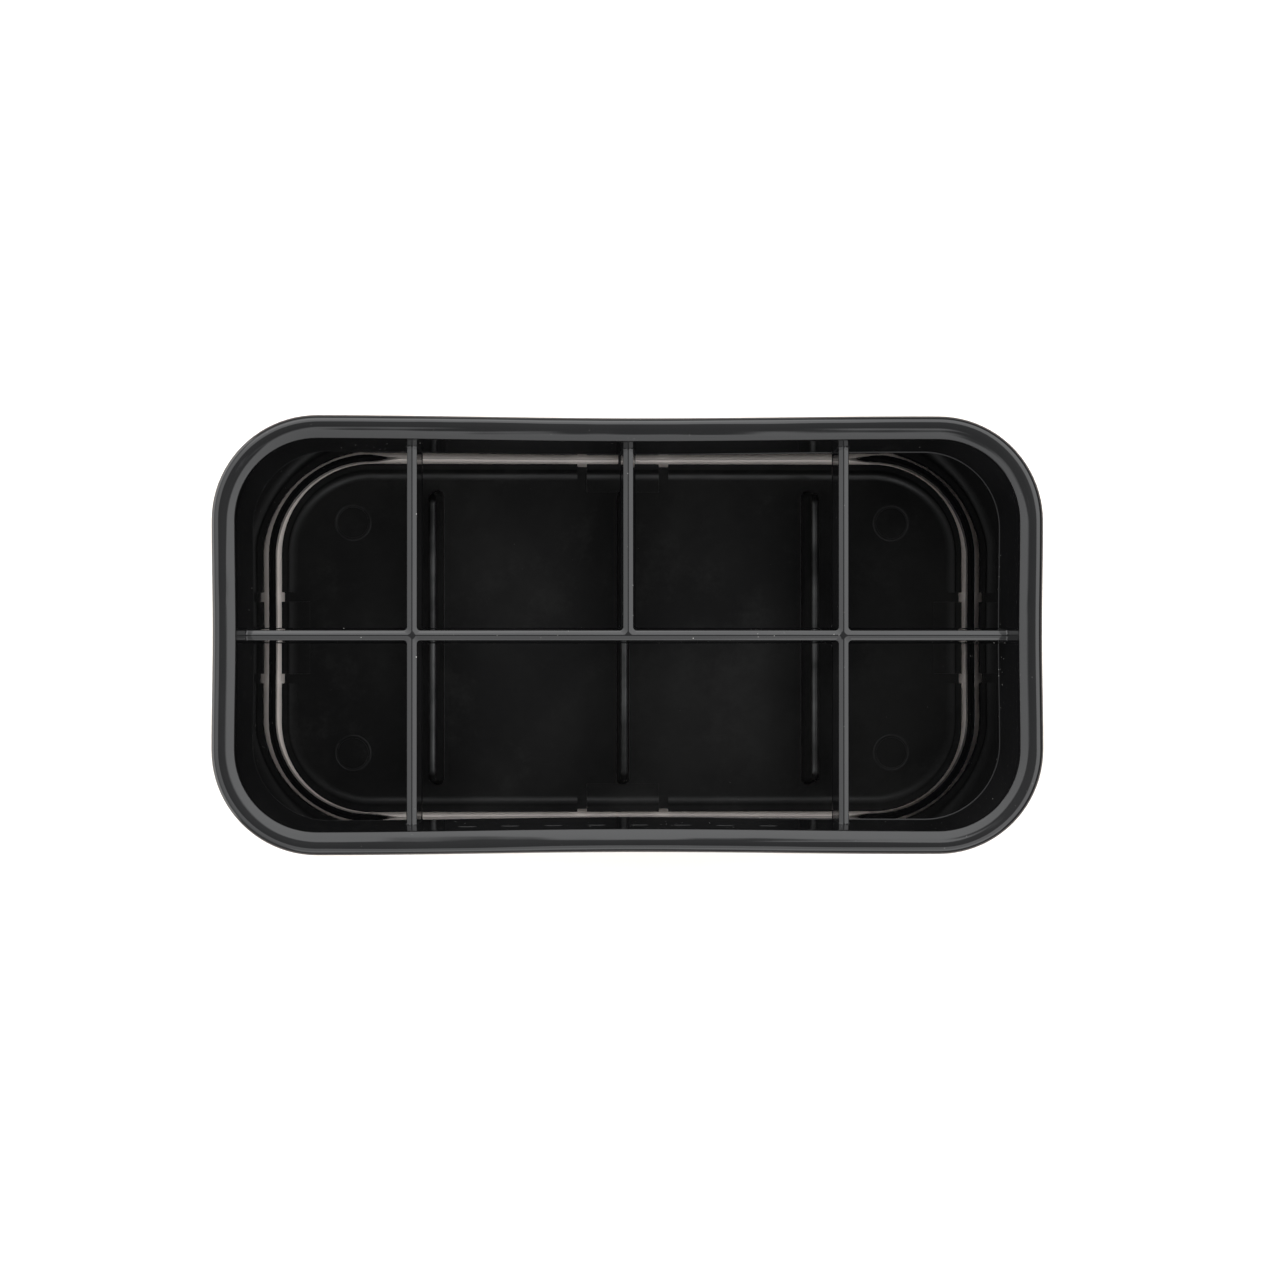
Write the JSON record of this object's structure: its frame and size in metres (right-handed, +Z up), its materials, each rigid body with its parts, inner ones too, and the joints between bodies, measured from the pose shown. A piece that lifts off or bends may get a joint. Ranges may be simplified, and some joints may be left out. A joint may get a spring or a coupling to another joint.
{
  "type": "divided display tray",
  "caption": "Deep free-standing black tray with rounded corners: a lift-off collar with a shallow cell grid, a flared sleeve and a separate floor plate on rubber feet.",
  "frame": {"origin": "centre of the footprint on the surface that the rubber feet stand on", "axes": "+Z up, +X along the long side, +Y towards the back, the side with the half divider"},
  "size_m": [0.2054, 0.1076, 0.109],
  "materials": {
    "shell_gloss": "high-gloss black injection-moulded plastic with faint flow waviness and dust",
    "floor_satin": "satin black moulded plastic, finely grained on top",
    "foot_rubber": "matte black rubber"
  },
  "bodies": {
    "base": {"floor_plate": "floor_satin", "foot_front_left": "foot_rubber", "foot_front_right": "foot_rubber", "foot_back_left": "foot_rubber", "foot_back_right": "foot_rubber"},
    "sleeve": {"sleeve": "shell_gloss"},
    "collar": {"collar": "shell_gloss"},
    "latch_left": {"latch_left": "floor_satin"},
    "latch_right": {"latch_right": "floor_satin"},
    "latch_front": {"latch_front": "floor_satin"},
    "latch_back": {"latch_back": "floor_satin"}
  },
  "joints": [
    {"name": "sleeve_lift", "type": "slide", "parent": "base", "child": "sleeve", "axis": [0, 0, 1], "range_m": [0, 0.035]},
    {"name": "collar_lift", "type": "slide", "parent": "sleeve", "child": "collar", "axis": [0, 0, 1], "range_m": [0, 0.04]},
    {"name": "latch_left_flex", "type": "hinge", "parent": "base", "child": "latch_left", "pos_m": [-0.0909, 0, 0.0032], "axis": [0, -1, 0], "range_deg": [0, 6], "stiffness_Nm_per_rad": 0.05},
    {"name": "latch_right_flex", "type": "hinge", "parent": "base", "child": "latch_right", "pos_m": [0.0909, 0, 0.0032], "axis": [0, 1, 0], "range_deg": [0, 6], "stiffness_Nm_per_rad": 0.05},
    {"name": "latch_front_flex", "type": "hinge", "parent": "base", "child": "latch_front", "pos_m": [0, -0.0431, 0.0032], "axis": [1, 0, 0], "range_deg": [0, 6], "stiffness_Nm_per_rad": 0.05},
    {"name": "latch_back_flex", "type": "hinge", "parent": "base", "child": "latch_back", "pos_m": [0, 0.0431, 0.0032], "axis": [-1, 0, 0], "range_deg": [0, 6], "stiffness_Nm_per_rad": 0.05}
  ]
}
